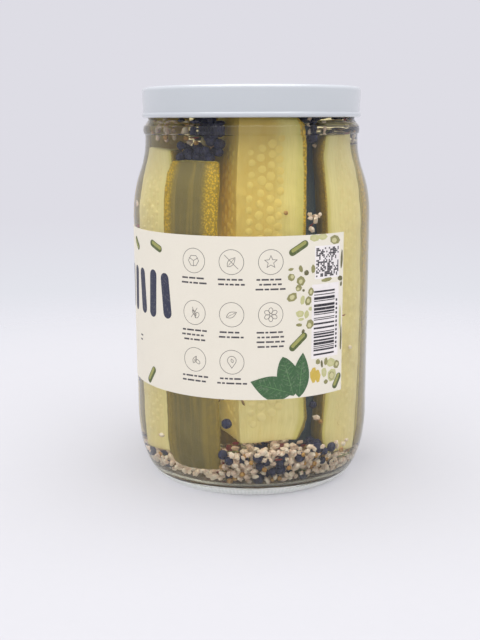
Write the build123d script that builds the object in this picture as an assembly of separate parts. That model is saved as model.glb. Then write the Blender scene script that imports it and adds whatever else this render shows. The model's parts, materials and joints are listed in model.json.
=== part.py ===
from build123d import *
import os
from math import atan, degrees, radians, sin

# A straight-sided glass jar of pickles with a twist-off metal lid and a wraparound paper label.
# Millimetres. The origin is at the centre of the bearing ring, where the jar stands, and +Z is up.
# The view from -Y shows the end of the label's print, right of the middle.

# The glass jar, outside. Radii step in from the body, and heights step down from the rim.
body_radius = 46.6
rim_height = 151.9
heel_height = 25.0
heel_inset = 9.4
bearing_width = 2.6
base_rise = 3.0
shoulder_rise = 29.0
shoulder_inset = 5.25
shoulder_convex_share = 0.58
neck_height = 1.6
bead_height = 3.6
bead_proud = 0.7
bead_taper = 2.0
finish_height = 11.7
finish_inset = 1.35
rim_round = 0.8

# The glass jar, inside.
body_wall = 2.6
finish_wall = 2.6
base_thickness = 4.2
inner_heel_height = 21.0
inner_heel_inset = 12.5

# The brine, with a gap of air between it and the rim.
headspace = 7.3

# The lid, a pressed metal cap that sits on the rim.
lid_depth = 11.1
lid_wall = 0.35
lid_corner = 1.5
curl_radius = 1.05
curl_clearance = 0.4
skirt_inset = 0.2
panel_clearance = 0.4
panel_drop = 1.0
panel_fillet = 0.3
button_radius = 15.0
button_slope = 2.5
button_rise = 0.5

# The paper label, glued round the straight part of the body, where its ends leave a gap.
label_foot_gap = 15.1
label_head_gap = 4.2
label_thickness = 0.2
label_end_angle = -43.7
label_wrap = 280.0

# What follows from the sizes above.
bearing_radius = body_radius - heel_inset
inner_radius = body_radius - body_wall
inner_floor_radius = inner_radius - inner_heel_inset
neck_radius = body_radius - shoulder_inset
finish_radius = neck_radius - finish_inset
mouth_radius = finish_radius - finish_wall
finish_start = rim_height - finish_height
bead_end = finish_start - bead_taper
bead_start = bead_end - bead_height
shoulder_end = bead_start - neck_height
shoulder_start = shoulder_end - shoulder_rise
floor_top = base_rise + base_thickness
brine_level = rim_height - headspace
lid_radius = finish_radius + curl_clearance + 2 * curl_radius
lid_bottom = rim_height - lid_depth
label_bottom = heel_height + label_foot_gap
label_height = shoulder_start - label_head_gap - label_bottom


def shoulder(wide_radius, narrow_radius):
    """Two tangent arcs that lead from the body's wall in to the neck's wall."""
    rise = shoulder_end - shoulder_start
    turn = 2 * degrees(atan((wide_radius - narrow_radius) / rise))
    both_radii = rise / sin(radians(turn))
    convex_radius = both_radii * shoulder_convex_share
    convex = JernArc((wide_radius, shoulder_start), (0, 1), convex_radius, turn)
    JernArc(convex @ 1, convex % 1, both_radii - convex_radius, -turn)


def heel(centre, inset, height):
    """A quarter ellipse that leads from the base out and up to the body's wall."""
    EllipticalCenterArc(centre, inset, height, start_angle=-90, arc_size=90)


def outer_wall():
    """The outside of the glass, from the middle of the underside up to the rim's flat land."""
    hollow_edge = (bearing_radius - bearing_width, 0)
    bead_crest = (neck_radius + bead_proud, bead_start + bead_height / 2)
    TangentArc((0, base_rise), hollow_edge, tangent=(1, 0))
    Line(hollow_edge, (bearing_radius, 0))
    heel((bearing_radius, heel_height), heel_inset, heel_height)
    Line((body_radius, heel_height), (body_radius, shoulder_start))
    shoulder(body_radius, neck_radius)
    Line((neck_radius, shoulder_end), (neck_radius, bead_start))
    ThreePointArc((neck_radius, bead_start), bead_crest, (neck_radius, bead_end))
    Line((neck_radius, bead_end), (finish_radius, finish_start))
    Line((finish_radius, finish_start), (finish_radius, rim_height - rim_round))
    CenterArc((finish_radius - rim_round, rim_height - rim_round), rim_round, 0, 90)


def inner_wall():
    """The inside of the glass, from the middle of the jar's floor up to the end of the shoulder."""
    heel_top = base_thickness + inner_heel_height
    TangentArc((0, floor_top), (inner_floor_radius, base_thickness), tangent=(1, 0))
    heel((inner_floor_radius, heel_top), inner_heel_inset, inner_heel_height)
    Line((inner_radius, heel_top), (inner_radius, shoulder_start))
    shoulder(inner_radius, mouth_radius)


def revolved(sketch):
    """The solid that a closed half section in the XZ plane sweeps round Z."""
    return revolve(sketch, axis=Axis.Z)


def make_jar():
    """The clear glass body, with its hollow underside, heel, shoulder, neck bead and rim."""
    with BuildSketch(Plane.XZ) as section:
        with BuildLine():
            outer_wall()
            inner_wall()
            Line((mouth_radius, shoulder_end), (mouth_radius, rim_height - rim_round))
            CenterArc((mouth_radius + rim_round, rim_height - rim_round), rim_round, 90, 90)
            Line((mouth_radius + rim_round, rim_height), (finish_radius - rim_round, rim_height))
            Line((0, base_rise), (0, floor_top))
        make_face()
    return revolved(section.sketch)


def make_brine():
    """The jar's contents, filled out to the glass and flat on top."""
    with BuildSketch(Plane.XZ) as section:
        with BuildLine():
            inner_wall()
            Line((mouth_radius, shoulder_end), (mouth_radius, brine_level))
            Line((mouth_radius, brine_level), (0, brine_level))
            Line((0, brine_level), (0, floor_top))
        make_face()
    return revolved(section.sketch)


def lid_side(inset):
    """A filled half section of the lid, drawn in by inset from its outer surface."""
    top = rim_height + lid_wall - inset
    panel_top = top - panel_drop
    step_radius = mouth_radius - panel_clearance - lid_wall + inset
    side_radius = lid_radius - skirt_inset - inset
    skirt_end = lid_bottom + curl_radius
    slope_end = button_radius + button_slope
    outline = (
        ((0, panel_top + button_rise), 0),
        ((button_radius, panel_top + button_rise), button_slope),
        ((slope_end, panel_top), button_slope),
        ((step_radius, panel_top), panel_fillet),
        ((step_radius, top), panel_fillet),
        ((side_radius, top), lid_corner - inset),
        ((side_radius, skirt_end), 0),
        ((0, skirt_end), 0),
    )
    points = [point for point, fillet_radius in outline]
    radii = [fillet_radius for point, fillet_radius in outline]
    with BuildSketch(Plane.XZ) as section:
        with BuildLine():
            FilletPolyline(*points, radius=radii, close=True)
        make_face()
    return section.sketch


def make_lid():
    """The pressed cap: a stepped top panel with a raised button, a skirt and a rolled bottom curl."""
    with BuildSketch(Plane.XZ) as curl:
        with Locations((lid_radius - curl_radius, lid_bottom + curl_radius)):
            Circle(curl_radius)
    shell = revolved(lid_side(0)) - revolved(lid_side(lid_wall))
    return shell + revolved(curl.sketch)


def make_label():
    """The paper label, one thin sheet glued to the body's outer wall."""
    with BuildSketch(Plane.XZ) as section:
        with Locations((body_radius, label_bottom)):
            Rectangle(label_thickness, label_height, align=(Align.MIN, Align.MIN))
    sheet = revolve(section.sketch, axis=Axis.Z, revolution_arc=label_wrap)
    return sheet.rotate(Axis.Z, label_end_angle - label_wrap)


def main():
    """Writes each piece to its own STEP file."""
    os.makedirs("parts", exist_ok=True)
    pieces = {
        "jar": make_jar(),
        "brine": make_brine(),
        "lid": make_lid(),
        "label": make_label(),
    }
    for name, piece in pieces.items():
        export_step(piece, f"parts/{name}.step")


main()
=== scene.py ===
import json
import math
import random

import bpy
from mathutils import Matrix, Vector

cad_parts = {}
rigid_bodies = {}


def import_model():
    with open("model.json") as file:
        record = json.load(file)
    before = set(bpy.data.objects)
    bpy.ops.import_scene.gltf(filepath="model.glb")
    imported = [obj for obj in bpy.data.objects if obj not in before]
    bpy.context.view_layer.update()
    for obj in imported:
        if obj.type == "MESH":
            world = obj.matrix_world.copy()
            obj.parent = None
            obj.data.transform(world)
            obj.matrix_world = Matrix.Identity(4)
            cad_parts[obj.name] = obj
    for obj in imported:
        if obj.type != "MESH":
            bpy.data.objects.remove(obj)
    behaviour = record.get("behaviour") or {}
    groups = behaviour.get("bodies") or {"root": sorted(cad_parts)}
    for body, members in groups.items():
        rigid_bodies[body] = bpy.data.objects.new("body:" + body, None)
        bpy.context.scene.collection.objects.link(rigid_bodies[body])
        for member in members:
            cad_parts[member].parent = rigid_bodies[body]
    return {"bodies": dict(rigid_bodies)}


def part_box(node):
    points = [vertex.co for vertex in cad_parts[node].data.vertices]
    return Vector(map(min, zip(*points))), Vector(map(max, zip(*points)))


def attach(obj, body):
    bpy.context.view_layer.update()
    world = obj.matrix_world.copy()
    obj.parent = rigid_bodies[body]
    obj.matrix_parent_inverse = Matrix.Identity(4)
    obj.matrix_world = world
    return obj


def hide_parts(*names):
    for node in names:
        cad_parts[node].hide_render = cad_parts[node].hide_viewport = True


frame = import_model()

bl_info = {
    "name": "Pickle jar",
    "version": (1, 0, 0),
    "blender": (4, 5, 0),
    "location": "3D View > Sidebar > Pickle jar",
    "description": "Makes a glass jar of pickle spears in brine, with a metal lid and a paper label",
    "category": "Object",
}

MM = 0.001
BODY = next(iter(frame["bodies"]))
JAR_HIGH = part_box("jar")[1]
BRINE_LOW, BRINE_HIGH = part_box("brine")
LID_LOW, LID_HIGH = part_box("lid")
LABEL_LOW, LABEL_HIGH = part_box("label")
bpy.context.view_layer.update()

TURN_STEPS = 192  # faces round a turned piece
SHOULDER_CONVEX_SHARE = 0.58  # how much of the shoulder's height its outward arc takes
KNURL_HEIGHT = 3.0 * MM
BRINE_DENSITY = 22.0  # how fast the brine takes its tint, for each metre
STRIP_WIDTH = 1.4 * MM  # a print is cut into strips this wide before it is bent
LAYER_STEP = 1.4  # from one layer of ink to the next, in shares of its thickness
LIFT_STEP = 0.004 * MM  # from one shape to the next that overlaps it in the same layer
FACING_FRONT = (math.pi / 2, 0, 0)


# ---------------------------------------------------------------- sizes and colours


def screen(red, green, blue):
    """A colour named by its screen values, 0 to 255, as the linear values that shaders use."""
    parts = [part / 255 for part in (red, green, blue)]
    return [part / 12.92 if part <= 0.04045 else ((part + 0.055) / 1.055) ** 2.4 for part in parts]


def length(name, description, default):
    """A size in metres that a user may change."""
    return bpy.props.FloatProperty(
        name=name, description=description, default=default, min=0, unit="LENGTH", precision=5
    )


def colour(name, description, default):
    """A colour that a user may change."""
    return bpy.props.FloatVectorProperty(
        name=name, description=description, default=default, size=3, min=0, max=1, subtype="COLOR"
    )


def degrees(name, description, default):
    """An angle, given here in degrees, that a user may change."""
    return bpy.props.FloatProperty(
        name=name, description=description, default=math.radians(default), subtype="ANGLE"
    )


def number(name, description, default):
    """A count that a user may change."""
    return bpy.props.IntProperty(name=name, description=description, default=default, min=0)


class PickleJarGlass(bpy.types.PropertyGroup):
    """Sizes and colours of the glass and of the brine in it."""

    body_radius: length("Body radius", "Outside of the straight body", JAR_HIGH.x)
    rim_height: length("Rim height", "Top of the glass", JAR_HIGH.z)
    bearing_radius: length("Bearing radius", "Outer edge of the ring that the jar stands on", 37.2 * MM)
    bearing_width: length("Bearing width", "Width of the ring that the jar stands on", 2.6 * MM)
    base_rise: length("Base rise", "Height of the hollow under the middle of the base", 3.0 * MM)
    heel_height: length("Heel height", "Where the heel's curve meets the straight body", 25.0 * MM)
    shoulder_start: length("Shoulder start", "Top of the straight body", 104.0 * MM)
    shoulder_end: length("Shoulder end", "Where the shoulder meets the neck", 133.0 * MM)
    neck_radius: length("Neck radius", "Outside of the neck under its bead", 41.35 * MM)
    bead_start: length("Bead start", "Lower edge of the ring round the neck", 134.6 * MM)
    bead_height: length("Bead height", "Height of the ring round the neck", 3.6 * MM)
    bead_proud: length("Bead proud", "How far the ring stands out from the neck", 0.7 * MM)
    finish_start: length("Finish start", "Lower edge of the part that the lid covers", 140.2 * MM)
    finish_radius: length("Finish radius", "Outside of the part that the lid covers", 40.0 * MM)
    rim_round: length("Rim round", "Rounding of the rim's two edges", 0.8 * MM)
    floor_top: length("Floor top", "Middle of the jar's floor, inside", 7.2 * MM)
    floor_low: length("Floor low", "Lowest part of the inside", BRINE_LOW.z)
    inner_floor_radius: length("Inner floor radius", "Where the inside's heel starts", 31.5 * MM)
    inner_heel_height: length("Inner heel height", "Height of the inside's heel", 21.0 * MM)
    inner_radius: length("Inner radius", "Inside of the straight body", BRINE_HIGH.x)
    mouth_radius: length("Mouth radius", "Inside of the neck", 37.4 * MM)
    brine_level: length("Brine level", "Top of the brine", BRINE_HIGH.z)
    brine_reach: length("Brine reach", "How far the brine reaches into the wall", 0.2 * MM)
    knurl_count: number("Knurls", "Small ribs on the lowest part of the heel", 180)
    glass_tint: colour("Glass tint", "Colour of the clear glass", screen(255, 255, 253))
    brine_base: colour("Brine surface", "Colour of the brine's surface", screen(255, 252, 234))
    brine_tint: colour("Brine tint", "Colour that light keeps in the brine", screen(252, 243, 200))


class PickleJarLid(bpy.types.PropertyGroup):
    """Sizes and colours of the pressed metal lid."""

    radius: length("Radius", "Outside of the bottom curl", LID_HIGH.x)
    bottom: length("Bottom", "Lower edge of the curl", LID_LOW.z)
    top: length("Top", "Highest part of the lid", LID_HIGH.z)
    wall: length("Wall", "Thickness of the metal", 0.35 * MM)
    corner: length("Corner", "Rounding between the side and the top", 1.5 * MM)
    curl_radius: length("Curl radius", "Half the thickness of the rolled bottom edge", 1.05 * MM)
    skirt_inset: length("Skirt inset", "How far the side lies inside the curl", 0.2 * MM)
    step_radius: length("Step radius", "Outside of the sunk top panel", 36.65 * MM)
    panel_drop: length("Panel drop", "How far the top panel lies under the outer ring", 1.0 * MM)
    panel_fillet: length("Panel fillet", "Rounding of the step down to the panel", 0.3 * MM)
    button_radius: length("Button radius", "Flat part of the raised button", 15.0 * MM)
    button_slope: length("Button slope", "Width of the slope round the button", 2.5 * MM)
    button_rise: length("Button rise", "Height of the button", 0.5 * MM)
    enamel: colour("Enamel", "White enamel on the metal", screen(198, 202, 208))


class PickleJarLabel(bpy.types.PropertyGroup):
    """Sizes and colours of the paper label and its print."""

    radius: length("Radius", "Glass under the label", JAR_HIGH.x)
    low: length("Lower edge", "Height of the label's lower edge", LABEL_LOW.z)
    high: length("Upper edge", "Height of the label's upper edge", LABEL_HIGH.z)
    start: degrees("Start", "Angle from the front where the label starts", -233.7)
    end: degrees("End", "Angle from the front where the label ends", 46.3)
    paper_thickness: length("Paper thickness", "Thickness of the paper", 0.12 * MM)
    ink_thickness: length("Ink thickness", "Thickness of one layer of ink", 0.010 * MM)
    paper: colour("Paper", "Cream paper", screen(240, 233, 219))
    line_ink: colour("Line ink", "Thin drawn lines", screen(112, 106, 102))
    word_ink: colour("Rule ink", "Short rules under the drawings", screen(70, 66, 72))
    dark_ink: colour("Dark ink", "Bars and dots", screen(38, 34, 44))
    navy_ink: colour("Navy ink", "Tall shapes round the front", screen(46, 50, 74))
    patch_ink: colour("Patch ink", "Pale fields behind the bars and dots", screen(243, 236, 236))
    leaf_ink: colour("Leaf ink", "Large leaves", screen(62, 100, 62))
    vein_ink: colour("Vein ink", "Veins of the large leaves", screen(92, 132, 84))
    herb_ink: colour("Slice ink", "Olive side of the slices", screen(146, 142, 92))
    dark_herb_ink: colour("Dark slice ink", "Darkest slices", screen(104, 100, 66))
    pale_ink: colour("Pale slice ink", "Lighter slices", screen(198, 196, 142))
    cream_ink: colour("Cream ink", "Middles of the slices", screen(206, 200, 152))
    rind_ink: colour("Rind ink", "Dark side of the small gherkins", screen(86, 98, 52))
    side_ink: colour("Gherkin side ink", "Light side of the small gherkins", screen(158, 158, 88))
    gold_ink: colour("Gold ink", "Yellow pieces", screen(212, 182, 78))


class PickleJarSpears(bpy.types.PropertyGroup):
    """Sizes and colours of the pickle spears."""

    voxel: length("Grain", "Size of the faces that a spear is made of", 0.9 * MM)
    taper_length: length("Taper length", "How far the rounding reaches at each end", 9.0 * MM)
    lump: length("Lump", "Height of the unevenness of a spear", 0.9 * MM)
    wart: length("Wart", "Height of the small bumps on the skin", 0.35 * MM)
    bow: length("Bow", "How far the ends bend in from the middle", 2.6 * MM)
    glass_gap: length("Glass gap", "Brine left between a spear and the glass", 0.25 * MM)
    seed_pitch: length("Seed pitch", "Distance from one seed to the next along a spear", 4.0 * MM)
    skin: colour("Skin", "Olive skin", screen(150, 132, 62))
    skin_cold: colour("Cold skin", "Skin of the least golden spears", screen(72, 92, 112))
    skin_dark: colour("Dark skin", "Darkest stripes of the skin", screen(122, 110, 56))
    # Painted glow: the skin near a cut is painted this colour, for light that shines through.
    skin_gold: colour("Golden skin", "Skin near a cut, where light comes through", screen(240, 200, 36))
    rind: colour("Rind", "Green flesh under the skin", screen(222, 212, 120))
    flesh: colour("Flesh", "Pale flesh", screen(255, 245, 190))
    # Painted glow: the flesh takes this colour only between the glow heights.
    flesh_gold: colour("Golden flesh", "Flesh of the most golden spears", screen(250, 236, 156))
    jelly: colour("Jelly", "Wet middle that holds the seeds", screen(232, 200, 100))
    seed: colour("Seed", "Seeds", screen(248, 226, 134))


class PickleJarLoose(bpy.types.PropertyGroup):
    """Counts and colours of the spices and garlic that lie loose in the jar."""

    garlic_count: number("Garlic", "Pieces of chopped garlic", 800)
    peppercorn_count: number("Peppercorns", "Whole peppercorns", 160)
    mustard_count: number("Mustard seeds", "Mustard seeds", 130)
    dill_seed_count: number("Dill seeds", "Dill seeds", 110)
    chilli_count: number("Chilli flakes", "Flakes of red chilli", 60)
    sprig_count: number("Dill sprigs", "Sprigs of dill", 26)
    pile_height: length("Pile height", "Height of the loose layer on the floor", 19.0 * MM)
    garlic: colour("Garlic colour", "Chopped garlic", screen(252, 242, 232))
    peppercorn: colour("Peppercorn colour", "Dark peppercorns", screen(40, 43, 68))
    mustard: colour("Mustard colour", "Mustard seeds", screen(206, 166, 96))
    dill_seed: colour("Dill seed colour", "Dill seeds", screen(126, 98, 60))
    chilli: colour("Chilli colour", "Chilli flakes", screen(150, 58, 50))
    dill: colour("Dill colour", "Dill leaves", screen(92, 104, 56))


class PickleJarStage(bpy.types.PropertyGroup):
    """The floor, the backdrop, the lamp and the camera."""

    camera_distance: length("Camera distance", "From the jar's axis to the camera", 0.384)
    camera_height: length("Camera height", "From the floor to the camera", 0.1397)
    camera_pitch: degrees("Camera pitch", "How far the camera looks down", 11.69)
    camera_turn: degrees("Camera turn", "How far the camera looks to the left", 0.70)
    camera_roll: degrees("Camera roll", "How far the camera leans", -0.23)
    focal_length: bpy.props.FloatProperty(
        name="Focal length", description="Lens, in millimetres on a 36 mm sensor", default=54.17, min=1
    )
    floor_radius: length("Floor radius", "Radius of the round floor", 0.60)
    fade_start: length("Fade start", "Where the floor starts to fade into the backdrop", 0.18)
    fade_end: length("Fade end", "Where the floor has faded out", 0.42)
    floor: colour("Floor", "Pale floor", screen(202, 201, 206))
    backdrop_high: colour("Backdrop high", "Upright part of the backdrop", screen(222, 221, 229))
    backdrop_turn: colour("Backdrop turn", "Start of the backdrop's curve", screen(227, 228, 235))
    backdrop_low: colour("Backdrop low", "Backdrop where it meets the floor", screen(240, 239, 247))
    lamp_size: length("Lamp size", "Side of the soft lamp", 1.3)
    lamp_height: length("Lamp height", "Height of the soft lamp", 1.2)
    lamp_forward: length("Lamp forward", "How far the lamp hangs in front of the jar's axis", 0.12)
    lamp_aim: length("Lamp aim", "Height on the jar's axis that the lamp points at", 0.08)
    lamp_power: bpy.props.FloatProperty(name="Lamp power", description="Watts", default=13.0, min=0)
    sky_level: bpy.props.FloatProperty(
        name="Sky level", description="Brightness of the even light from all round", default=0.88, min=0
    )


GROUPS = {
    "pickle_jar_glass": PickleJarGlass,
    "pickle_jar_lid": PickleJarLid,
    "pickle_jar_label": PickleJarLabel,
    "pickle_jar_spears": PickleJarSpears,
    "pickle_jar_loose": PickleJarLoose,
    "pickle_jar_stage": PickleJarStage,
}


# ---------------------------------------------------------------- modelling by hand


def select_only(*objects):
    """Leaves edit mode and selects only these objects, with the first one active."""
    if bpy.context.object and bpy.context.object.mode != "OBJECT":
        bpy.ops.object.mode_set(mode="OBJECT")
    bpy.ops.object.select_all(action="DESELECT")
    for obj in objects:
        obj.select_set(True)
    bpy.context.view_layer.objects.active = objects[0] if objects else None


def edit(obj, mode="VERT"):
    """Opens one object in edit mode with all of it selected."""
    select_only(obj)
    bpy.ops.object.mode_set(mode="EDIT")
    bpy.ops.mesh.select_mode(type=mode)
    bpy.ops.mesh.select_all(action="SELECT")


def leave_edit():
    """Closes edit mode and returns the object."""
    bpy.ops.object.mode_set(mode="OBJECT")
    return bpy.context.object


def select_faces(obj, test):
    """In edit mode, selects the faces whose middle and normal pass the test."""
    bpy.ops.mesh.select_mode(type="FACE")
    bpy.ops.mesh.select_all(action="DESELECT")
    bpy.ops.object.mode_set(mode="OBJECT")
    for face in obj.data.polygons:
        face.select = test(face.center, face.normal)
    bpy.ops.object.mode_set(mode="EDIT")


def named(name):
    """The object that the last operator made, under its own name."""
    obj = bpy.context.object
    obj.name = name
    obj.data.name = name
    return obj


def settle(obj):
    """Puts an object's place into its mesh, so that the object sits at the origin, unturned."""
    select_only(obj)
    bpy.ops.object.transform_apply(location=True, rotation=True, scale=True)
    return obj


def join(name, objects):
    """Joins objects into one piece."""
    select_only(*objects)
    if len(objects) > 1:
        bpy.ops.object.join()
    obj = named(name)
    return settle(obj)


def finish_modifiers(obj):
    """Applies every modifier, in order."""
    select_only(obj)
    for modifier in list(obj.modifiers):
        bpy.ops.object.modifier_apply(modifier=modifier.name)
    return obj


def trace(name, points, closed=False):
    """Draws a line through the points, by extruding one vertex from each to the next."""
    select_only()
    bpy.ops.mesh.primitive_plane_add(size=MM)
    edit(named(name))
    bpy.ops.mesh.merge(type="CENTER")
    here = Vector(points[0])
    bpy.ops.transform.translate(value=here)
    for point in list(points[1:]) + ([points[0]] if closed else []):
        step = Vector(point) - here
        bpy.ops.mesh.extrude_region_move(TRANSFORM_OT_translate={"value": step})
        here = Vector(point)
    bpy.ops.mesh.select_all(action="SELECT")
    if closed:
        bpy.ops.mesh.remove_doubles(threshold=MM / 1000)
        bpy.ops.mesh.select_all(action="SELECT")
        bpy.ops.mesh.edge_face_add()
    return leave_edit()


def lathe(name, outline, steps):
    """Turns an outline of (radius, height) points about the Z axis into a closed solid."""
    obj = trace(name, [(radius, 0, height) for radius, height in outline])
    edit(obj)
    bpy.ops.mesh.spin(steps=steps, angle=math.tau, center=(0, 0, 0), axis=(0, 0, 1))
    bpy.ops.mesh.select_all(action="SELECT")
    bpy.ops.mesh.remove_doubles(threshold=MM / 500)
    bpy.ops.mesh.normals_make_consistent(inside=False)
    obj = leave_edit()
    bpy.ops.object.shade_smooth_by_angle(angle=math.radians(50))
    return obj


def ellipse(centre, across, up, start, end, steps):
    """Points of an elliptical arc, from one angle to another, in degrees from the outward direction."""
    turns = [math.radians(start + (end - start) * k / steps) for k in range(steps + 1)]
    return [(centre[0] + across * math.cos(t), centre[1] + up * math.sin(t)) for t in turns]


def arc(centre, radius, start, end, steps):
    """Points of a round arc, from one angle to another."""
    return ellipse(centre, radius, radius, start, end, steps)


def dome(middle_height, edge, steps):
    """Points of a shallow arc from the axis to an edge point, level at the axis."""
    radius, height = edge
    rise = middle_height - height
    return [(radius * k / steps, middle_height - rise * (k / steps) ** 2) for k in range(steps + 1)]


def s_curve(low, high, convex_share, steps):
    """Points of two arcs that lead from one upright wall to a narrower one above it."""
    drop = low[0] - high[0]
    rise = high[1] - low[1]
    turn = 2 * math.atan(drop / rise)
    both = rise / math.sin(turn)
    convex = both * convex_share
    first = [turn * k / steps for k in range(steps + 1)]
    lower = [(low[0] - convex * (1 - math.cos(t)), low[1] + convex * math.sin(t)) for t in first]
    concave = both - convex
    upper = [(high[0] + concave * (1 - math.cos(t)), high[1] - concave * math.sin(t)) for t in first]
    return lower + upper[-2::-1]


def copies(name, models, places):
    """Copies the models in turn to the places, each with its own mesh, and joins the copies."""
    made = []
    for index, place in enumerate(places):
        copy = models[index % len(models)].copy()
        copy.data = copy.data.copy()
        bpy.context.scene.collection.objects.link(copy)
        copy.matrix_world = place
        made.append(copy)
    for model in models:
        bpy.data.objects.remove(model)
    return join(name, made)


def bend(obj, axis, angle):
    """Bends an object by an angle about one of its own axes."""
    modifier = obj.modifiers.new("Bend", "SIMPLE_DEFORM")
    modifier.deform_method = "BEND"
    modifier.deform_axis = axis
    modifier.angle = angle
    return finish_modifiers(obj)


def show(piece, slot, *replaced):
    """Hands a finished piece to the frame, on the one body. The slot is not used."""
    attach(piece, BODY)
    if replaced:
        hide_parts(*replaced)
    return piece


def dress(piece, material):
    """Gives a piece one material all over."""
    piece.data.materials.clear()
    piece.data.materials.append(material)
    return piece


def paint_faces(piece, material, test):
    """Gives a second material to the faces whose middle and normal pass the test."""
    piece.data.materials.append(material)
    edit(piece, "FACE")
    select_faces(piece, test)
    piece.active_material_index = len(piece.data.materials) - 1
    bpy.ops.object.material_slot_assign()
    return leave_edit()


# ---------------------------------------------------------------- materials


class Wire:
    """The value of one socket. Python's operators on it add Math nodes."""

    def __init__(self, paint, socket):
        self.paint = paint
        self.socket = socket

    def math(self, operation, *others):
        values = dict(enumerate((self, *others)))
        return self.paint.node("ShaderNodeMath", {"operation": operation}, values)

    def swapped(self, operation, other):
        return self.paint.node("ShaderNodeMath", {"operation": operation}, {0: other, 1: self})

    def __add__(self, other):
        return self.math("ADD", other)

    def __sub__(self, other):
        return self.math("SUBTRACT", other)

    def __mul__(self, other):
        return self.math("MULTIPLY", other)

    def __truediv__(self, other):
        return self.math("DIVIDE", other)

    def __pow__(self, other):
        return self.math("POWER", other)

    def __rsub__(self, other):
        return self.swapped("SUBTRACT", other)

    def __rtruediv__(self, other):
        return self.swapped("DIVIDE", other)

    __radd__ = __add__
    __rmul__ = __mul__

    def rise(self, low, high):
        """0 below low, 1 above high, and smooth between them. It falls where low is above high."""
        values = {"Value": self, "From Min": low, "From Max": high}
        return self.paint.node("ShaderNodeMapRange", {"interpolation_type": "SMOOTHSTEP"}, values)


class Paint:
    """A material or a world that is being built, node by node."""

    def __init__(self, name, kind="materials"):
        self.made = getattr(bpy.data, kind).new(name)
        self.made.use_nodes = True
        self.tree = self.made.node_tree
        self.tree.nodes.clear()

    def node(self, kind, settings=None, values=None, output=0):
        """Adds a node, sets it up, then sets or links its sockets, and returns one output."""
        node = self.tree.nodes.new(kind)
        for name, value in (settings or {}).items():
            if name == "stops":
                self.set_stops(node.color_ramp, value)
            else:
                setattr(node, name, value)
        for name, value in (values or {}).items():
            if isinstance(value, Wire):
                self.tree.links.new(value.socket, node.inputs[name])
            else:
                node.inputs[name].default_value = value
        return Wire(self, node.outputs[output])

    @staticmethod
    def set_stops(ramp, stops):
        """Gives a colour ramp its stops, each a place and a colour."""
        while len(ramp.elements) < len(stops):
            ramp.elements.new(0.5)
        for element, (place, tone) in zip(ramp.elements, stops):
            element.position = place
            element.color = (*tone, 1)

    def here(self):
        """The place on the piece, in metres."""
        return self.node("ShaderNodeTexCoord", output="Object")

    def attribute(self, name, output="Vector"):
        """One of the piece's own attributes."""
        return self.node("ShaderNodeAttribute", {"attribute_name": name}, output=output)

    def scaled(self, vector, factors):
        """A vector with each part multiplied by its own factor."""
        values = {0: vector, 1: factors}
        return self.node("ShaderNodeVectorMath", {"operation": "MULTIPLY"}, values)

    def parts(self, vector):
        """The three parts of a vector."""
        first = self.node("ShaderNodeSeparateXYZ", values={0: vector})
        outputs = first.socket.node.outputs
        return [Wire(self, outputs[k]) for k in range(3)]

    def noise(self, vector, scale, detail=3.0, roughness=0.5):
        """Soft random patches, as a value from 0 to 1."""
        values = {"Vector": vector, "Scale": scale, "Detail": detail, "Roughness": roughness}
        return self.node("ShaderNodeTexNoise", values=values)

    def cells(self, vector, scale, **settings):
        """The distance from the middle of each of many random cells."""
        values = {"Vector": vector, "Scale": scale}
        return self.node("ShaderNodeTexVoronoi", settings, values, "Distance")

    def mix(self, factor, first, second):
        """Blends two colours, from the first at 0 to the second at 1."""
        values = {0: factor}
        for name, tone in ((6, first), (7, second)):
            values[name] = tone if isinstance(tone, Wire) else (*tone, 1)
        return self.node("ShaderNodeMix", {"data_type": "RGBA"}, values, output=2)

    def bump(self, height, distance):
        """A normal from a height of 0 to 1, that many metres deep."""
        return self.node("ShaderNodeBump", values={"Height": height, "Distance": distance, "Strength": 1})

    def surface(self, **values):
        """Adds the surface shader and links it to the output. A value of three parts is a colour."""
        sockets = {}
        for name, value in values.items():
            socket = name.replace("_", " ").title().replace("Ior", "IOR")
            sockets[socket] = (*value, 1) if hasattr(value, "__len__") else value
        self.output(self.node("ShaderNodeBsdfPrincipled", values=sockets))

    def output(self, shader, socket="Surface"):
        """Links a shader to the output node, which the first call adds."""
        kind = f"ShaderNodeOutput{type(self.made).__name__}"
        ends = [node for node in self.tree.nodes if node.bl_idname == kind]
        end = ends[0] if ends else self.tree.nodes.new(kind)
        self.tree.links.new(shader.socket, end.inputs[socket])


def shade(tone, factor):
    """A colour made darker or lighter by a factor."""
    return [min(1, part * factor) for part in tone]


def away(across, up):
    """The distance from an axis, from the two parts that lie across it."""
    return (across * across + up * up) ** 0.5


def glass_material(sizes, wet):
    """Clear glass, slightly wavy as moulded glass is. Where it is wet it mirrors hardly anything."""
    paint = Paint("wet_glass" if wet else "clear_glass")
    wave = paint.noise(paint.scaled(paint.here(), (1, 1, 0.45)), 90, detail=1)
    paint.surface(
        base_color=sizes.glass_tint,
        roughness=0.0,
        ior=1.5,
        transmission_weight=1.0,
        specular_tint=[0, 0, 0] if wet else [1, 1, 1],
        normal=paint.bump(wave, 0.05 * MM),
    )
    return paint.made


def knurl_material(sizes):
    """Glass broken up by small ribs, so that it scatters light."""
    paint = Paint("knurled_glass")
    across, back = paint.parts(paint.here())[:2]
    ribs = (across.math("ARCTAN2", back) * float(sizes.knurl_count)).math("SINE") * 0.5 + 0.5
    paint.surface(
        base_color=paint.mix(ribs, screen(238, 242, 238), screen(250, 252, 250)),
        roughness=0.45,
        ior=1.5,
        transmission_weight=0.25,
        normal=paint.bump(ribs, 0.03 * MM),
    )
    return paint.made


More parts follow.
